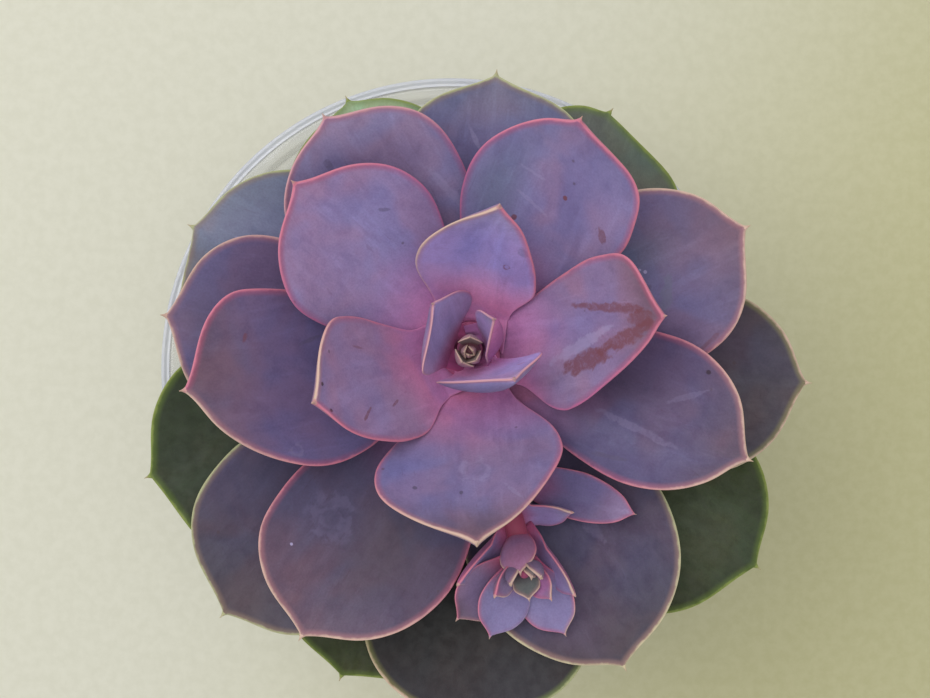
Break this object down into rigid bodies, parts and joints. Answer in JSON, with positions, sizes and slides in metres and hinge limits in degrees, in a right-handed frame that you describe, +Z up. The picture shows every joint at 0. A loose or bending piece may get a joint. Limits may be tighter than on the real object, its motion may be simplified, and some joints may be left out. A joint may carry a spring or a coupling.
{
  "type": "potted echeveria succulent",
  "caption": "Broad lilac and green rosette of spoon-shaped succulent leaves with one small offset rosette, on a short stem in a clear tapered pot of gritty potting mix.",
  "frame": {"origin": "centre of the pot's flat underside", "axes": "+Z up along the pot's axis, +Y away from the side that the offset rosette leans to, +X to the right of someone who looks down with the offset nearest them"},
  "size_m": [0.13, 0.1303, 0.1372],
  "materials": {
    "leaf_lilac": "living leaf with a waxy matt bloom, lilac with coral-pink margins",
    "leaf_violet": "living leaf with a waxy matt bloom, violet with pink margins",
    "leaf_dusky": "living leaf with a waxy matt bloom, slate purple with pale margins",
    "leaf_dark": "living leaf with a thin waxy bloom, dark grey-green",
    "leaf_green": "living leaf, satin green with yellow-green translucent margins",
    "leaf_heart": "living leaf, pale cream and pink, matt",
    "leaf_offset": "living leaf with a waxy matt bloom, violet with pink margins",
    "clear_plastic": "clear, glossy, slightly blue",
    "potting_mix": "loose dark bark and peat with grit",
    "stem": "green-brown living stem, ringed with old leaf scars"
  },
  "bodies": {
    "root": {"leaf_01": "leaf_lilac", "leaf_02": "leaf_lilac", "leaf_03": "leaf_lilac", "inner_leaf_1": "leaf_lilac", "inner_leaf_2": "leaf_lilac", "inner_leaf_3": "leaf_lilac", "leaf_04": "leaf_violet", "leaf_05": "leaf_violet", "leaf_06": "leaf_violet", "leaf_07": "leaf_violet", "leaf_08": "leaf_violet", "leaf_09": "leaf_dusky", "leaf_10": "leaf_dusky", "leaf_11": "leaf_dusky", "leaf_12": "leaf_dusky", "leaf_13": "leaf_dusky", "leaf_14": "leaf_dusky", "leaf_15": "leaf_dusky", "leaf_17": "leaf_dusky", "leaf_16": "leaf_dark", "leaf_18": "leaf_dark", "leaf_19": "leaf_green", "leaf_20": "leaf_green", "leaf_21": "leaf_green", "leaf_22": "leaf_green", "leaf_23": "leaf_green", "heart_leaves": "leaf_heart", "offset_rosette": "leaf_offset", "pot": "clear_plastic", "potting_mix": "potting_mix", "stem": "stem"}
  },
  "joints": []
}
